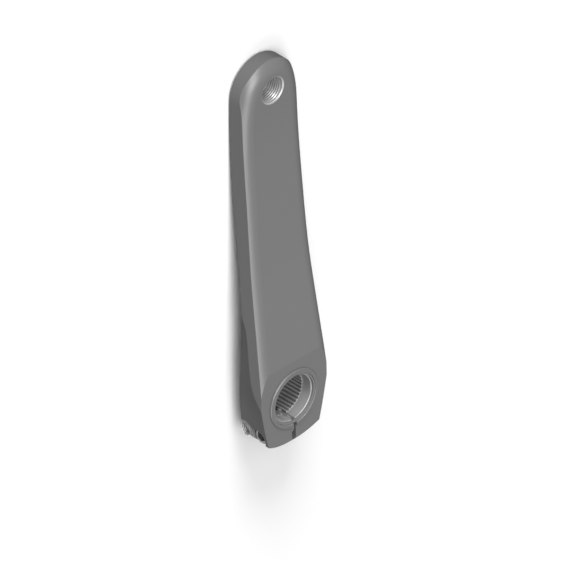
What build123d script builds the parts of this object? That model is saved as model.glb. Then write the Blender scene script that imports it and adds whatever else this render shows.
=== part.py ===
from build123d import *
import os
from math import cos, pi, radians, sin, sqrt

# Left bicycle crank arm with a split, splined clamp for a hollow 24 mm spindle.
# Frame, in mm: X runs from the spindle to the pedal, Y across the arm, and Z along the spindle
# towards the bicycle. The origin is on the spindle axis, in the plane of the hub's inboard face.

# Arm seen along the spindle: half widths, and where along the arm they are taken
arm_length = 170.0
hub_half_width = 21.7
hub_widest_x = 6.0
shoulder_half_width = 20.6
shoulder_x = 35.0
waist_half_width = 18.8
pedal_end_half_width = 18.1
pedal_end_set_back = 2.8

# Inboard side seen across the arm: flat hub face, straight ramp, long curve and flat pedal face
ramp_start_x = 21.2
ramp_end_x = 62.0
ramp_slope = 0.15
pedal_face_level = -14.0
pedal_face_set_back = 13.0
long_curve_set_back = 60.0
long_curve_level = -11.2

# Rounded band between the inboard side and the side walls: the blank it is rolled on stands
# out past the side walls by the overhang, and the walls then cut the roll at a sharp edge
band_radius = 8.5
band_overhang = 3.45
band_fade_set_back = 18.0
band_fade_overhang = 2.9
band_end_overhang = 1.55

# Crowned outboard side: level of its ridge, then half width and level of a point of its edge
hub_crown = (-22.2, 18.4, -17.8)
hub_crown_x = 4.0
neck_crown = (-22.9, 18.8, -16.4)
neck_crown_x = 30.0
flank_end_crown = (-23.4, 19.9, -15.1)
flank_end_crown_x = 53.0
waist_crown = (-24.2, 18.8, -18.8)
waist_crown_set_back = 84.0
lower_crown = (-24.9, 18.4, -22.0)
lower_crown_set_back = 58.0
upper_crown = (-25.6, 18.1, -24.2)
upper_crown_set_back = 30.0
pedal_crown = (-26.0, 17.7, -24.7)
crown_side_margin = 1.8

# Hub end seen along the spindle, and how far its flanks lean in for each mm of depth
hub_foot = 25.7
hub_face_foot = 23.4
corner_set_up = 3.0
corner_set_in = 4.9
corner_lean = 0.12
heel_x = -8.0
heel_set_in = 2.0
heel_lean = 0.11
side_x = 1.0
side_set_in = 0.3
side_lean = 0.18
flank_x = 9.4
flank_set_out = 1.1
flank_lean = 0.24
flare_x = 21.4
flare_set_out = 1.9
flare_lean = 0.287
flank_end_x = 43.0
flank_end_set_out = 2.2
flank_end_lean = 0.31
far_set_out = 12.0

# Clamp: spindle bore, boss and ring seat round its mouth, splines, cap seat and slit
bore_radius = 12.05
bore_mouth_chamfer = 0.2
ring_seat_width = 1.85
ring_seat_depth = 1.5
boss_width = 2.0
boss_height = 0.8
boss_chamfer = 0.4
spline_start_depth = 6.5
spline_end_depth = 18.0
spline_count = 40
spline_root_clearance = 0.15
spline_height = 0.6
spline_mouth_width = 1.35
spline_root_width = 0.4
cap_seat_width = 0.8
slit_width = 2.5

# Pedal hole, between the crests and roots of its thread, with the pedal axle's seat round it
pedal_hole_radius = 6.7
pedal_hole_chamfer = 0.6
pedal_seat_radius = 11.5
pedal_seat_depth = 0.6

# Clamp bolts, from opposite sides: M6 socket heads, each with a washer
bolt_radius = 2.95
bolt_length = 19.0
bolt_tip_chamfer = 0.9
head_radius = 4.25
head_height = 6.0
head_chamfer = 0.6
head_under_chamfer = 0.4
socket_across_flats = 5.0
socket_depth = 3.2
washer_radius = 4.7
washer_thickness = 1.3
washer_edge_chamfer = 0.3
bolt_seat_y = 7.7
inner_bolt_x = -17.6
inner_bolt_z = -6.5
outer_bolt_x = -16.6
outer_bolt_z = -14.9
thread_clearance = 0.05
shank_clearance = 0.3
washer_bore_clearance = 0.25
head_clearance = 0.25

# Stopper plate between the clamp's jaws
plate_thickness = 2.2
plate_bore_clearance = 0.25
plate_wall = 2.3
plate_web_height = 5.15
plate_swing = 15.0
hook_height = 3.4
pin_radius = 1.15
pin_set_out = 3.3
pin_reach = 7.0
pin_tip_chamfer = 0.4

# Seal ring
ring_clearance = 0.15
ring_width = 1.1
ring_thickness = 1.1
ring_edge_round = 0.2

# How far blanks and cuts run past the finished surfaces
margin = 6.0

# Worked-out places
pedal_arc_x = arm_length - pedal_end_set_back
blank_start_x = -hub_foot - margin
blank_end_x = pedal_arc_x + pedal_end_half_width + margin
blank_depth = margin - pedal_crown[0]
crown_reach = hub_half_width + crown_side_margin
corner_x = corner_set_up - hub_face_foot
ring_seat_radius = bore_radius + ring_seat_width
ring_seat_level = boss_height - ring_seat_depth
boss_radius = ring_seat_radius + boss_width
spline_root_radius = bore_radius - spline_root_clearance
spline_tip_radius = spline_root_radius - spline_height
cap_seat_radius = spline_root_radius + cap_seat_width
spline_pitch = 360 / spline_count
corner_y = hub_half_width - corner_set_in
nose_radius = (corner_y**2 + corner_set_up**2) / (2 * corner_set_up)
nose_axis = Axis((nose_radius - hub_face_foot, 0, 0), (0, 0, 1))
nose_arc = 30.0
pedal_axis = Axis((arm_length, 0, 0), (0, 0, 1))


def crown_levels(crown):
    """The levels of a crown's ridge and of its arc at the crown's reach."""
    ridge, edge_half_width, edge_level = crown
    rise = edge_level - ridge
    radius = (edge_half_width**2 + rise**2) / (2 * rise)
    return ridge, ridge + radius - sqrt(radius**2 - crown_reach**2)


def crown_section(x, crown):
    """The arm's section at x above its crown, wider and taller than the arm itself."""
    ridge, side_level = crown_levels(crown)
    with BuildSketch(Plane.YZ.offset(x)) as section:
        with BuildLine():
            arc = ThreePointArc((-crown_reach, side_level), (0, ridge), (crown_reach, side_level))
            Polyline(arc @ 1, (crown_reach, margin), (-crown_reach, margin), arc @ 0)
        make_face()
    return section.sketch


def hub_section(depth):
    """The hub's outline at a depth under its inboard face. Past the hub it flares clear of the arm."""
    stations = [
        (corner_x, -corner_set_in, corner_lean),
        (heel_x, -heel_set_in, heel_lean),
        (side_x, -side_set_in, side_lean),
        (flank_x, flank_set_out, flank_lean),
        (flare_x, flare_set_out, flare_lean),
        (flank_end_x, flank_end_set_out, flank_end_lean),
    ]
    side = [(x, hub_half_width + out - lean * depth) for x, out, lean in stations]
    with BuildSketch(Plane.XY.offset(-depth)) as section:
        with BuildLine():
            foot = ThreePointArc((side[0][0], -side[0][1]), (-hub_foot, 0), side[0])
            flank = Spline(*side)
            Line(flank @ 1, (blank_end_x + margin, hub_half_width + far_set_out))
            mirror(about=Plane.XZ)
            Line(
                (blank_end_x + margin, hub_half_width + far_set_out),
                (blank_end_x + margin, -hub_half_width - far_set_out),
            )
        make_face()
    return section.sketch


clamp_bolts = [
    (inner_bolt_x, inner_bolt_z, 1),
    (outer_bolt_x, outer_bolt_z, -1),
]


def bolt_plane(x, z, head_side, distance):
    """A plane across a bolt, at a distance from the slit's middle and facing out of its head."""
    return Plane(origin=(x, head_side * distance, z), x_dir=(1, 0, 0), z_dir=(0, head_side, 0))


# Arm: the blank, with its inboard side shaped and the band rolled round its rim
with BuildPart() as crank_arm:
    with BuildSketch(Plane.XZ.offset(-2 * hub_half_width)):
        with BuildLine():
            ramp = Line(
                (blank_start_x, ramp_slope * (ramp_start_x - blank_start_x)),
                (ramp_end_x, -ramp_slope * (ramp_end_x - ramp_start_x)),
            )
            long_curve = Spline(
                ramp @ 1,
                (arm_length - long_curve_set_back, long_curve_level),
                (arm_length - pedal_face_set_back, pedal_face_level),
                tangents=[(1, -ramp_slope), (1, 0)],
            )
            Polyline(
                long_curve @ 1,
                (blank_end_x, pedal_face_level),
                (blank_end_x, -blank_depth),
                (blank_start_x, -blank_depth),
                ramp @ 0,
            )
        make_face()
    extrude(amount=4 * hub_half_width)
    with BuildSketch(Plane.XY.offset(-blank_depth)):
        with BuildLine():
            end_radius = pedal_end_half_width + band_end_overhang
            side = Spline(
                (blank_start_x, hub_half_width + band_overhang),
                (hub_widest_x, hub_half_width + band_overhang),
                (shoulder_x, shoulder_half_width + band_overhang),
                (arm_length / 2, waist_half_width + band_overhang),
                (arm_length - band_fade_set_back, pedal_end_half_width + band_fade_overhang),
                (pedal_arc_x, end_radius),
                (pedal_arc_x + end_radius * cos(pi / 4), end_radius * sin(pi / 4)),
                (pedal_arc_x + end_radius, 0),
                tangents=[(1, 0), (0, -1)],
            )
            mirror(about=Plane.XZ)
            Line(side @ 0, (blank_start_x, -hub_half_width - band_overhang))
        make_face()
    extrude(amount=2 * blank_depth, mode=Mode.INTERSECT)
    rim = (
        crank_arm.edges()
        .filter_by(GeomType.LINE, reverse=True)
        .filter_by(lambda edge: abs((edge @ 0).Z - (edge @ 1).Z) < 0.5 * edge.length)
        .filter_by(lambda edge: (edge @ 0.5).Z > pedal_face_level - 1)
    )
    fillet(rim, band_radius)
    # Side walls, crown and hub flanks
    with BuildSketch(Plane.XY.offset(-blank_depth)):
        with BuildLine():
            wall = Spline(
                (blank_start_x, hub_half_width),
                (hub_widest_x, hub_half_width),
                (shoulder_x, shoulder_half_width),
                (arm_length / 2, waist_half_width),
                (pedal_arc_x, pedal_end_half_width),
                tangents=[(1, 0), (1, 0)],
            )
            RadiusArc(
                wall @ 1,
                (pedal_arc_x + pedal_end_half_width, 0),
                pedal_end_half_width,
            )
            mirror(about=Plane.XZ)
            Line(wall @ 0, (blank_start_x, -hub_half_width))
        make_face()
    extrude(amount=2 * blank_depth, mode=Mode.INTERSECT)
    crown_stations = [
        (blank_start_x, hub_crown),
        (hub_crown_x, hub_crown),
        (neck_crown_x, neck_crown),
        (flank_end_crown_x, flank_end_crown),
        (arm_length - waist_crown_set_back, waist_crown),
        (arm_length - lower_crown_set_back, lower_crown),
        (arm_length - upper_crown_set_back, upper_crown),
        (arm_length, pedal_crown),
        (blank_end_x, pedal_crown),
    ]
    loft([crown_section(x, crown) for x, crown in crown_stations], mode=Mode.INTERSECT)
    loft([hub_section(0), hub_section(blank_depth)], ruled=True, mode=Mode.INTERSECT)
    # The crown ends in a dome round the pedal axis
    with BuildSketch(Plane.YZ.offset(arm_length)):
        ridge, side_level = crown_levels(pedal_crown)
        with BuildLine():
            dome = ThreePointArc((-crown_reach, side_level), (0, ridge), (crown_reach, side_level))
            Polyline(dome @ 1, (crown_reach, -blank_depth), (-crown_reach, -blank_depth), dome @ 0)
        make_face()
        Rectangle(2 * crown_reach, 2 * blank_depth, align=(Align.MAX, Align.CENTER), mode=Mode.SUBTRACT)
    revolve(axis=pedal_axis, revolution_arc=-180, mode=Mode.SUBTRACT)

    # The foot's inboard edge, cut back at 45 degrees round the arc through the face's two corners
    for turn in (nose_arc, -nose_arc):
        with BuildSketch(Plane.XZ):
            with BuildLine():
                Polyline(
                    (margin - hub_face_foot, margin),
                    (-margin - hub_face_foot, -margin),
                    (-margin - hub_face_foot, margin),
                    close=True,
                )
            make_face()
        revolve(axis=nose_axis, revolution_arc=turn, mode=Mode.SUBTRACT)

    # Boss round the spindle bore
    with BuildSketch(Plane.XZ):
        with BuildLine():
            Polyline(
                (0, 0),
                (boss_radius, 0),
                (boss_radius, boss_height - boss_chamfer),
                (boss_radius - boss_chamfer, boss_height),
                (0, boss_height),
                close=True,
            )
        make_face()
    revolve(axis=Axis.Z)
    # Ring seat, bore, clearing bore of the splines and cap seat, from the inboard side to the outboard
    with BuildSketch(Plane.XZ):
        with BuildLine():
            Polyline(
                (0, margin),
                (ring_seat_radius, margin),
                (ring_seat_radius, ring_seat_level),
                (bore_radius + bore_mouth_chamfer, ring_seat_level),
                (bore_radius, ring_seat_level - bore_mouth_chamfer),
                (bore_radius, -spline_start_depth),
                (spline_tip_radius, -spline_start_depth),
                (spline_tip_radius, -spline_end_depth),
                (cap_seat_radius, -spline_end_depth),
                (cap_seat_radius, -blank_depth),
                (0, -blank_depth),
                close=True,
            )
        make_face()
    revolve(axis=Axis.Z, mode=Mode.SUBTRACT)
    # Grooves between the splines
    with BuildSketch(Plane.XY.offset(-spline_end_depth)):
        with PolarLocations(0, spline_count, start_angle=spline_pitch / 2):
            groove_start = spline_tip_radius - spline_mouth_width
            Polygon(
                (groove_start, -spline_mouth_width / 2),
                (spline_tip_radius, -spline_mouth_width / 2),
                (spline_root_radius, -spline_root_width / 2),
                (spline_root_radius, spline_root_width / 2),
                (spline_tip_radius, spline_mouth_width / 2),
                (groove_start, spline_mouth_width / 2),
                align=None,
            )
    extrude(amount=spline_end_depth - spline_start_depth, mode=Mode.SUBTRACT)
    # Clamp slit, from the bore out through the foot
    with BuildSketch(Plane.XY.offset(margin)):
        with Locations((blank_start_x / 2, 0)):
            Rectangle(-blank_start_x, slit_width)
    extrude(amount=-blank_depth - 2 * margin, mode=Mode.SUBTRACT)
    # Bolt holes: head recess and shank hole on the head's side of the slit, thread hole on the other
    for x, z, head_side in clamp_bolts:
        with BuildSketch(bolt_plane(x, z, head_side, bolt_seat_y)):
            Circle(washer_radius + head_clearance)
        extrude(amount=crown_reach, mode=Mode.SUBTRACT)
        with BuildSketch(bolt_plane(x, z, head_side, bolt_seat_y)):
            Circle(bolt_radius + shank_clearance)
        extrude(amount=-bolt_seat_y, mode=Mode.SUBTRACT)
        with BuildSketch(bolt_plane(x, z, head_side, 0)):
            Circle(bolt_radius + thread_clearance)
        extrude(amount=-crown_reach, mode=Mode.SUBTRACT)
    # Pedal hole, chamfered on both sides, with the pedal axle's flat seat on the outboard side
    with BuildSketch(Plane(origin=(arm_length, 0, 0), x_dir=(1, 0, 0), z_dir=(0, -1, 0))):
        with BuildLine():
            seat_level = pedal_crown[0] + pedal_seat_depth
            Polyline(
                (0, pedal_face_level + margin),
                (pedal_hole_radius + pedal_hole_chamfer + margin, pedal_face_level + margin),
                (pedal_hole_radius, pedal_face_level - pedal_hole_chamfer),
                (pedal_hole_radius, seat_level + pedal_hole_chamfer),
                (pedal_hole_radius + pedal_hole_chamfer, seat_level),
                (pedal_seat_radius, seat_level),
                (pedal_seat_radius, -blank_depth),
                (0, -blank_depth),
                close=True,
            )
        make_face()
    revolve(axis=pedal_axis, mode=Mode.SUBTRACT)
crank_arm.part.label = "crank_arm"


def clamp_bolt(x, z, head_side):
    """An M6 bolt with a chamfered socket head, seated on its washer."""
    under_head = bolt_seat_y + washer_thickness
    with BuildPart() as bolt:
        with BuildSketch(bolt_plane(x, z, head_side, under_head)):
            Circle(head_radius)
        head = extrude(amount=head_height)
        chamfer(head.edges().group_by(Axis.Y)[-1 if head_side > 0 else 0], head_chamfer)
        chamfer(
            bolt.edges().filter_by(GeomType.CIRCLE).group_by(Axis.Y)[0 if head_side > 0 else -1],
            head_under_chamfer,
        )
        with BuildSketch(bolt_plane(x, z, head_side, under_head)):
            Circle(bolt_radius)
        extrude(amount=-bolt_length)
        chamfer(
            bolt.edges().filter_by(GeomType.CIRCLE).group_by(Axis.Y)[0 if head_side > 0 else -1],
            bolt_tip_chamfer,
        )
        with BuildSketch(bolt_plane(x, z, head_side, under_head + head_height)):
            RegularPolygon(socket_across_flats / 2, 6, major_radius=False)
        extrude(amount=-socket_depth, mode=Mode.SUBTRACT)
    return bolt.part


def bolt_washer(x, z, head_side):
    """The washer under a bolt head, with its edge broken towards the head."""
    with BuildPart() as washer:
        with BuildSketch(bolt_plane(x, z, head_side, bolt_seat_y)):
            Circle(washer_radius)
            Circle(bolt_radius + washer_bore_clearance, mode=Mode.SUBTRACT)
        extrude(amount=washer_thickness)
        outer_edge = washer.edges().group_by(Axis.Y)[-1 if head_side > 0 else 0].sort_by(SortBy.RADIUS)[-1]
        chamfer(outer_edge, washer_edge_chamfer)
    return washer.part


inner_bolt = clamp_bolt(*clamp_bolts[0])
inner_bolt.label = "inner_clamp_bolt"
outer_bolt = clamp_bolt(*clamp_bolts[1])
outer_bolt.label = "outer_clamp_bolt"
inner_washer = bolt_washer(*clamp_bolts[0])
inner_washer.label = "inner_bolt_washer"
outer_washer = bolt_washer(*clamp_bolts[1])
outer_washer.label = "outer_bolt_washer"


# Stopper plate: it turns on the inner bolt, hooks round the outer one and holds a pin between them
bolt_spacing = sqrt((outer_bolt_x - inner_bolt_x) ** 2 + (outer_bolt_z - inner_bolt_z) ** 2)
plate_bore = bolt_radius + plate_bore_clearance
lobe_radius = plate_bore + plate_wall
hook_tip_x = outer_bolt_x + hook_height
web_top_x = inner_bolt_x + plate_web_height
pin_z = inner_bolt_z - pin_set_out
plate_plane = Plane(origin=(0, plate_thickness / 2, 0), x_dir=(1, 0, 0), z_dir=(0, -1, 0))
cut_plane = Plane(origin=(0, slit_width / 2, 0), x_dir=(1, 0, 0), z_dir=(0, -1, 0))
# The foot runs straight between the lobes, parallel to the line through both bolts
foot_dx = lobe_radius * (outer_bolt_z - inner_bolt_z) / bolt_spacing
foot_dz = -lobe_radius * (outer_bolt_x - inner_bolt_x) / bolt_spacing
# Where the outer bolt stands in the hook once the plate has swung out
swing = radians(plate_swing)
bolt_dx = outer_bolt_x - inner_bolt_x
bolt_dz = outer_bolt_z - inner_bolt_z
swung_bolt_x = inner_bolt_x + bolt_dx * cos(swing) - bolt_dz * sin(swing)
swung_bolt_z = inner_bolt_z + bolt_dx * sin(swing) + bolt_dz * cos(swing)
mouth_outer_z = outer_bolt_z - plate_bore
mouth_inner_z = swung_bolt_z + plate_bore

with BuildPart() as stopper_plate:
    with BuildSketch(plate_plane):
        with Locations((inner_bolt_x, inner_bolt_z), (outer_bolt_x, outer_bolt_z)):
            Circle(lobe_radius)
        with BuildLine():
            Polyline(
                (inner_bolt_x, inner_bolt_z),
                (inner_bolt_x + foot_dx, inner_bolt_z + foot_dz),
                (outer_bolt_x + foot_dx, outer_bolt_z + foot_dz),
                (outer_bolt_x, outer_bolt_z),
                close=True,
            )
        make_face()
        # The web beside the pin, which ends with the inner lobe just short of the spindle
        with BuildLine():
            Polyline(
                (inner_bolt_x, inner_bolt_z),
                (web_top_x, inner_bolt_z),
                (web_top_x, mouth_inner_z),
                (inner_bolt_x, mouth_inner_z),
                close=True,
            )
        make_face()
        with BuildLine():
            Polyline(
                (web_top_x, mouth_inner_z),
                (web_top_x, inner_bolt_z + lobe_radius),
                (web_top_x + lobe_radius, inner_bolt_z + lobe_radius),
                (web_top_x + lobe_radius, mouth_inner_z),
                close=True,
            )
        make_face(mode=Mode.SUBTRACT)
    extrude(amount=plate_thickness)
    with BuildSketch(Plane(origin=(inner_bolt_x, 0, pin_z), x_dir=(0, 1, 0), z_dir=(1, 0, 0))):
        Circle(pin_radius)
    extrude(amount=pin_reach)
    chamfer(stopper_plate.edges().group_by(Axis.X)[-1], pin_tip_chamfer)
    with BuildSketch(cut_plane):
        with Locations((inner_bolt_x, inner_bolt_z)):
            Circle(plate_bore)
    extrude(amount=slit_width, mode=Mode.SUBTRACT)
    with BuildSketch(cut_plane):
        with Locations((outer_bolt_x, outer_bolt_z), (swung_bolt_x, swung_bolt_z)):
            Circle(plate_bore)
        make_hull()
    extrude(amount=slit_width, mode=Mode.SUBTRACT)
    with BuildSketch(cut_plane):
        with BuildLine():
            Polyline(
                (outer_bolt_x, mouth_outer_z),
                (hook_tip_x, mouth_outer_z),
                (hook_tip_x, outer_bolt_z - 2 * lobe_radius),
                (outer_bolt_x + 2 * lobe_radius, outer_bolt_z - 2 * lobe_radius),
                (outer_bolt_x + 2 * lobe_radius, mouth_inner_z),
                (swung_bolt_x, mouth_inner_z),
                close=True,
            )
        make_face()
    extrude(amount=slit_width, mode=Mode.SUBTRACT)
stopper_plate.part.label = "stopper_plate"

# Seal ring, on the floor of its seat
with BuildPart() as seal_ring:
    with BuildSketch(Plane.XY.offset(ring_seat_level)):
        Circle(ring_seat_radius - ring_clearance)
        Circle(ring_seat_radius - ring_clearance - ring_width, mode=Mode.SUBTRACT)
    extrude(amount=ring_thickness)
    fillet(seal_ring.edges().group_by(Axis.Z)[-1], ring_edge_round)
seal_ring.part.label = "seal_ring"

pieces = [
    crank_arm.part,
    inner_bolt,
    outer_bolt,
    inner_washer,
    outer_washer,
    stopper_plate.part,
    seal_ring.part,
]
os.makedirs("parts", exist_ok=True)
for piece in pieces:
    export_step(piece, f"parts/{piece.label}.step")
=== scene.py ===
import bpy
from math import radians
from mathutils import Matrix, Vector


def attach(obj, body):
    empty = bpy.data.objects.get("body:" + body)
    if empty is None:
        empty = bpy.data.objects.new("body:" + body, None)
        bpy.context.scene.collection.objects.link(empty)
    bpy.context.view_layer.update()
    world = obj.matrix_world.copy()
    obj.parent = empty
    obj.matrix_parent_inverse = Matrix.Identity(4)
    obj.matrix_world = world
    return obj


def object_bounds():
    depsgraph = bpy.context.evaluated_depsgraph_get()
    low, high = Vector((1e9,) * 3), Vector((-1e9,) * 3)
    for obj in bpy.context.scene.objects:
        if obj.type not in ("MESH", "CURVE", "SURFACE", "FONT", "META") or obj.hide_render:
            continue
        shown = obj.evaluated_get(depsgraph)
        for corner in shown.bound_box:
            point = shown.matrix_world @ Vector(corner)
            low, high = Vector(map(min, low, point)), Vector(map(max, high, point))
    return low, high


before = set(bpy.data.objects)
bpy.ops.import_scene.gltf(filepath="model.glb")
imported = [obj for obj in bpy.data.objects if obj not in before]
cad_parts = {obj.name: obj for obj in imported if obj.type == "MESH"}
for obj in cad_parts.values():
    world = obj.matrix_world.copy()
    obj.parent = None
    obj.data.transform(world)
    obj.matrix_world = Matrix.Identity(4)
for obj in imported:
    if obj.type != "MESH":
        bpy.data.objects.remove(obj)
cad_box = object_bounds()
for loaded in bpy.context.selected_objects:
    loaded.select_set(False)

mm = 0.001
along_y = (0, 1, 0)
along_z = (0, 0, 1)
full_turn = radians(360)
quarter_turn = radians(90)
white = (1, 1, 1, 1)

# The camera is a true isometric one: it looks along (-1, -1, -1) with the pedal end upwards
view_back = Vector((1, 1, 1)).normalized()
view_up = Vector((2, -1, -1)).normalized()
view_target = Vector((61.9 * mm, 0, -5.3 * mm))
view_width = 268.5 * mm
view_distance = 1.2
view_depth = 10

# Lamps: direction towards each, its spread in degrees, and its strength
lamps = {
    "front": ((1.0, 1.0, 1.0), 20, 0.5),
    "key": ((1.0, 0.35, 1.2), 25, 0.5),
    "low": ((1.0, 0.2, 0.35), 25, 3.0),
    "top": ((0.15, 0.35, 0.92), 40, 1.8),
    "streak": ((-0.577, 0.393, 0.716), 35, 0.8),
}
world_strength = 0.1

# The floor is pale where it is seen, and darker for the light that it throws back
floor_size = 6
floor_grey = 0.78
floor_bounce = 0.1

# Greys of the finishes: the cut one is for the bores' walls, the splines' tips and the threads, and
# is brighter partly as painted light, standing in for the light that falls into the bores
arm_grey = 0.165
cut_and_painted_light_grey = 0.36
steel_grey = 0.3
plate_grey = 0.16
ring_grey = 0.15
edge_tint = 0.3

# The finishes' grain, and the radius by which their sharp edges look broken
grain_size = 0.25 * mm
grain_detail = 2
broken_edge = 0.12 * mm
broken_edge_samples = 6

# Bores, each a point on its axis, its direction and the radius that holds its cut wall, which is
# painted brighter partly as painted light
pedal_x = 170 * mm
spindle_bore = ((0, 0, 0), along_z, 13.95 * mm)
pedal_bore = ((pedal_x, 0, 0), along_z, 7.4 * mm)
outer_bolt_bore = ((-16.6 * mm, 0, -14.9 * mm), along_y, 5 * mm)
inner_bolt_bore = ((-17.6 * mm, 0, -6.5 * mm), along_y, 5 * mm)

# Splines: the middle of their length, half that length, and the radius beyond which the grooves'
# floors between them keep the darker arm grey as painted shade
spline_middle = (0, 0, -12.25 * mm)
spline_half_length = 5.7 * mm
groove_shade_radius = 11.55 * mm

# Thread ridges: widths of their foot and crest as shares of the pitch, and steps in a turn
ridge_foot = 0.9
ridge_crest = 0.12
thread_steps = 48

# Threads: root and crest radius, pitch, turns, and hand, with 1 for right and -1 for left
pedal_thread = (6.72 * mm, 6.46 * mm, 1.27 * mm, 7, -1)
bolt_thread = (3.02 * mm, 2.78 * mm, 1 * mm, 6, 1)
pedal_thread_start = -24.75 * mm
bolt_thread_start = 10.8 * mm


def grey_colour(grey):
    return (grey, grey, grey, 1)


def look_from(back):
    """A placing at the view's distance from its target, which looks against the back direction."""
    right = view_up.cross(back).normalized()
    turn = Matrix((right, back.cross(right), back)).transposed().to_4x4()
    return Matrix.Translation(view_target + view_distance * back) @ turn


def add_camera():
    bpy.ops.object.camera_add()
    camera = bpy.context.object
    camera.name = "camera"
    camera.data.type = "ORTHO"
    camera.data.ortho_scale = view_width
    camera.data.clip_end = view_depth
    camera.matrix_world = look_from(view_back)
    bpy.context.scene.camera = camera


def add_lamp(name, back, spread, strength):
    bpy.ops.object.light_add(type="SUN")
    lamp = bpy.context.object
    lamp.name = name
    lamp.data.angle = radians(spread)
    lamp.data.energy = strength
    lamp.matrix_world = look_from(Vector(back).normalized())


def joined(tree, operation, one, other):
    """The larger or the smaller of two values of a material."""
    step = tree.nodes.new("ShaderNodeMath")
    step.operation = operation
    tree.links.new(one, step.inputs[0])
    tree.links.new(other, step.inputs[1])
    return step.outputs["Value"]


def seen_share(tree):
    """1 for rays that see the background itself, 0 for those that only carry its light."""
    path = tree.nodes.new("ShaderNodeLightPath")
    share = path.outputs["Is Camera Ray"]
    for ray in ("Is Glossy Ray", "Is Transmission Ray"):
        share = joined(tree, "MAXIMUM", share, path.outputs[ray])
    return share


def mixed_colour(tree, share, first, second):
    """The first grey where the share is 0, the second where it is 1."""
    mix = tree.nodes.new("ShaderNodeMix")
    mix.data_type = "RGBA"
    mix.inputs["A"].default_value = grey_colour(first)
    mix.inputs["B"].default_value = grey_colour(second)
    tree.links.new(share, mix.inputs["Factor"])
    return mix.outputs["Result"]


def add_world():
    world = bpy.data.worlds.new("studio")
    bpy.context.scene.world = world
    world.use_nodes = True
    tree = world.node_tree
    ambient = tree.nodes["Background"]
    ambient.inputs["Color"].default_value = white
    ambient.inputs["Strength"].default_value = world_strength
    seen = tree.nodes.new("ShaderNodeBackground")
    seen.inputs["Color"].default_value = white
    mix = tree.nodes.new("ShaderNodeMixShader")
    tree.links.new(seen_share(tree), mix.inputs["Fac"])
    tree.links.new(ambient.outputs["Background"], mix.inputs[1])
    tree.links.new(seen.outputs["Background"], mix.inputs[2])
    tree.links.new(mix.outputs["Shader"], tree.nodes["World Output"].inputs["Surface"])


def add_floor():
    bpy.ops.mesh.primitive_plane_add(size=floor_size, location=(0, 0, cad_box[0][2]))
    floor = bpy.context.object
    floor.name = "floor"
    material = bpy.data.materials.new("pale_floor")
    material.use_nodes = True
    tree = material.node_tree
    shader = tree.nodes["Principled BSDF"]
    colour = mixed_colour(tree, seen_share(tree), floor_bounce, floor_grey)
    tree.links.new(colour, shader.inputs["Base Color"])
    shader.inputs["Roughness"].default_value = 1
    shader.inputs["Specular IOR Level"].default_value = 0
    floor.data.materials.append(material)


def finish(name, grey, metallic, roughness, specular, grain_depth):
    """A plain grey finish with a fine grain, and with its sharp edges broken by a small radius."""
    material = bpy.data.materials.new(name)
    material.use_nodes = True
    tree = material.node_tree
    shader = tree.nodes["Principled BSDF"]
    shader.inputs["Base Color"].default_value = grey_colour(grey)
    shader.inputs["Metallic"].default_value = metallic
    shader.inputs["Roughness"].default_value = roughness
    shader.inputs["Specular IOR Level"].default_value = specular
    shader.inputs["Specular Tint"].default_value = grey_colour(edge_tint)
    place = tree.nodes.new("ShaderNodeTexCoord")
    noise = tree.nodes.new("ShaderNodeTexNoise")
    noise.inputs["Scale"].default_value = 1 / grain_size
    noise.inputs["Detail"].default_value = grain_detail
    tree.links.new(place.outputs["Object"], noise.inputs["Vector"])
    bevel = tree.nodes.new("ShaderNodeBevel")
    bevel.samples = broken_edge_samples
    bevel.inputs["Radius"].default_value = broken_edge
    bump = tree.nodes.new("ShaderNodeBump")
    bump.inputs["Distance"].default_value = grain_depth
    tree.links.new(noise.outputs["Fac"], bump.inputs["Height"])
    tree.links.new(bevel.outputs["Normal"], bump.inputs["Normal"])
    tree.links.new(bump.outputs["Normal"], shader.inputs["Normal"])
    return material


def nearer_than(tree, point, measured, distance):
    """1 nearer to the point than the distance, along the measured axes only, and 0 further out."""
    offset = tree.nodes.new("ShaderNodeVectorMath")
    offset.operation = "SUBTRACT"
    offset.inputs[1].default_value = point
    tree.links.new(tree.nodes["Texture Coordinate"].outputs["Object"], offset.inputs[0])
    part = tree.nodes.new("ShaderNodeVectorMath")
    part.operation = "MULTIPLY"
    part.inputs[1].default_value = measured
    tree.links.new(offset.outputs["Vector"], part.inputs[0])
    length = tree.nodes.new("ShaderNodeVectorMath")
    length.operation = "LENGTH"
    tree.links.new(part.outputs["Vector"], length.inputs[0])
    nearer = tree.nodes.new("ShaderNodeMath")
    nearer.operation = "LESS_THAN"
    nearer.inputs[1].default_value = distance
    tree.links.new(length.outputs["Value"], nearer.inputs[0])
    return nearer.outputs["Value"]


def inside_bore(tree, point, along, radius):
    """1 nearer to the bore's axis than the radius, 0 further out."""
    return nearer_than(tree, point, Vector((1, 1, 1)) - Vector(along), radius)


def opposite(tree, share):
    """1 less the share."""
    rest = tree.nodes.new("ShaderNodeMath")
    rest.operation = "SUBTRACT"
    rest.inputs[0].default_value = 1
    tree.links.new(share, rest.inputs[1])
    return rest.outputs["Value"]


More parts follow.
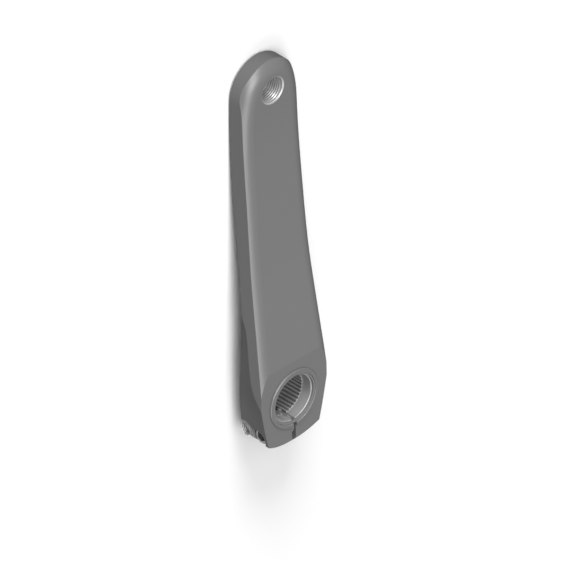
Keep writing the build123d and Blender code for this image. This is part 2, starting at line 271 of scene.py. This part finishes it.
def cut_bores_with_painted_light_and_shade(material):
    """Bright machined metal on the bores' walls and the splines' tips, partly painted light for the
    light inside the bores; the grooves' floors keep the darker arm grey as painted shade.
    """
    tree = material.node_tree
    shader = tree.nodes["Principled BSDF"]
    point, along, wall_radius = spindle_bore
    # Painted shade: the grooves' floors between the splines keep the darker arm grey
    among_splines = nearer_than(tree, spline_middle, along, spline_half_length)
    above_painted_groove_shade = inside_bore(tree, point, along, groove_shade_radius)
    off_painted_groove_shade = joined(tree, "MAXIMUM", opposite(tree, among_splines), above_painted_groove_shade)
    # Painted light: the bores' walls get the bright machined grey, brighter partly to stand in for
    # the light inside the bores
    cut_and_painted_light = joined(tree, "MINIMUM", inside_bore(tree, point, along, wall_radius), off_painted_groove_shade)
    for bore in (pedal_bore, outer_bolt_bore, inner_bolt_bore):
        cut_and_painted_light = joined(tree, "MAXIMUM", cut_and_painted_light, inside_bore(tree, *bore))
    tree.links.new(mixed_colour(tree, cut_and_painted_light, arm_grey, cut_and_painted_light_grey), shader.inputs["Base Color"])


def dress(node, material):
    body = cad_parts[node]
    body.data.materials.clear()
    body.data.materials.append(material)


def pick(piece):
    """Selects one piece alone, for the operators that follow."""
    bpy.ops.object.select_all(action="DESELECT")
    bpy.context.view_layer.objects.active = piece
    piece.select_set(True)


def add_ridge(name, root, crest, pitch, turns, hand):
    """The ridge of an internal thread round the upright axis through the origin, from there upwards.

    Its V profile stands from the root to the crest, and is screwed round the axis and capped.
    """
    middle = pitch / 2
    bpy.ops.mesh.primitive_plane_add(size=1, calc_uvs=False, rotation=(quarter_turn, 0, 0))
    ridge = bpy.context.object
    ridge.name = name
    ridge.data.name = name
    bpy.ops.object.transform_apply(location=True, rotation=True, scale=True)
    bpy.ops.object.mode_set(mode="EDIT")
    bpy.ops.mesh.select_all(action="SELECT")
    bpy.ops.transform.resize(value=(root - crest, 1, ridge_foot * pitch))
    bpy.ops.transform.translate(value=((root + crest) / 2, 0, middle))
    bpy.ops.mesh.delete(type="ONLY_FACE")
    bpy.ops.object.mode_set(mode="OBJECT")
    for corner in ridge.data.vertices:
        corner.select = corner.co.x < (root + crest) / 2
    for side in ridge.data.edges:
        side.select = all(ridge.data.vertices[corner].select for corner in side.vertices)
    bpy.ops.object.mode_set(mode="EDIT")
    bpy.ops.transform.resize(
        value=(1, 1, ridge_crest / ridge_foot), center_override=(crest, 0, middle)
    )
    bpy.ops.object.mode_set(mode="OBJECT")
    turn = ridge.modifiers.new("turn", "SCREW")
    turn.axis = "Z"
    turn.angle = hand * full_turn
    turn.screw_offset = pitch
    turn.iterations = turns
    turn.steps = thread_steps
    turn.render_steps = thread_steps
    turn.use_smooth_shade = False
    bpy.ops.object.modifier_apply(modifier="turn")
    bpy.ops.object.mode_set(mode="EDIT")
    bpy.ops.mesh.select_all(action="SELECT")
    bpy.ops.mesh.fill_holes(sides=4)
    bpy.ops.mesh.select_all(action="SELECT")
    bpy.ops.mesh.normals_make_consistent(inside=False)
    bpy.ops.object.mode_set(mode="OBJECT")
    ridge.data.materials.append(cut_and_painted_light_finish)
    return ridge


def copy_ridge(ridge, name):
    pick(ridge)
    bpy.ops.object.duplicate()
    copied = bpy.context.object
    copied.name = name
    copied.data.name = name
    return copied


def seat_ridge(ridge, bore, start, way):
    """Puts a ridge in its bore, from a distance along the axis, backwards where way is -1."""
    point = Vector(bore[0])
    along = Vector(bore[1])
    pick(ridge)
    facing = Vector(along_z).rotation_difference(way * along).to_matrix().to_4x4()
    ridge.matrix_world = Matrix.Translation(point + start * along) @ facing
    bpy.ops.object.transform_apply(location=True, rotation=True, scale=True)
    ridge.select_set(False)
    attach(ridge, "arm")


metal = {"metallic": 0.45, "roughness": 0.35, "specular": 0, "grain_depth": 0.003 * mm}
# The arm's finish carries painted light on its bores' walls and painted shade on its splines' groove
# floors
arm_finish_with_painted_light_and_shade = finish("satin_aluminium_with_painted_light_and_shade", arm_grey, **metal)
cut_bores_with_painted_light_and_shade(arm_finish_with_painted_light_and_shade)
# The bright machined finish of the threads is partly painted light, for the light inside the bores
cut_and_painted_light_finish = finish("machined_aluminium_and_painted_light", cut_and_painted_light_grey, **metal)
steel_finish = finish(
    "plated_steel", steel_grey, metallic=0.8, roughness=0.35, specular=0.3, grain_depth=0.002 * mm
)
plate_finish = finish(
    "moulded_plastic", plate_grey, metallic=0, roughness=0.5, specular=0.3, grain_depth=0.004 * mm
)
ring_finish = finish(
    "moulded_rubber", ring_grey, metallic=0, roughness=0.6, specular=0.2, grain_depth=0.003 * mm
)
dress("crank_arm", arm_finish_with_painted_light_and_shade)
for node in ("inner_clamp_bolt", "outer_clamp_bolt", "inner_bolt_washer", "outer_bolt_washer"):
    dress(node, steel_finish)
dress("stopper_plate", plate_finish)
dress("seal_ring", ring_finish)

pedal_ridge = add_ridge("pedal_hole_thread", *pedal_thread)
seat_ridge(pedal_ridge, pedal_bore, pedal_thread_start, 1)
outer_ridge = add_ridge("outer_bolt_hole_thread", *bolt_thread)
inner_ridge = copy_ridge(outer_ridge, "inner_bolt_hole_thread")
seat_ridge(outer_ridge, outer_bolt_bore, bolt_thread_start, 1)
seat_ridge(inner_ridge, inner_bolt_bore, -bolt_thread_start, -1)

add_camera()
for name, (back, spread, strength) in lamps.items():
    add_lamp(name, back, spread, strength)
add_world()
add_floor()
scene = bpy.context.scene
scene.view_settings.view_transform = "Standard"
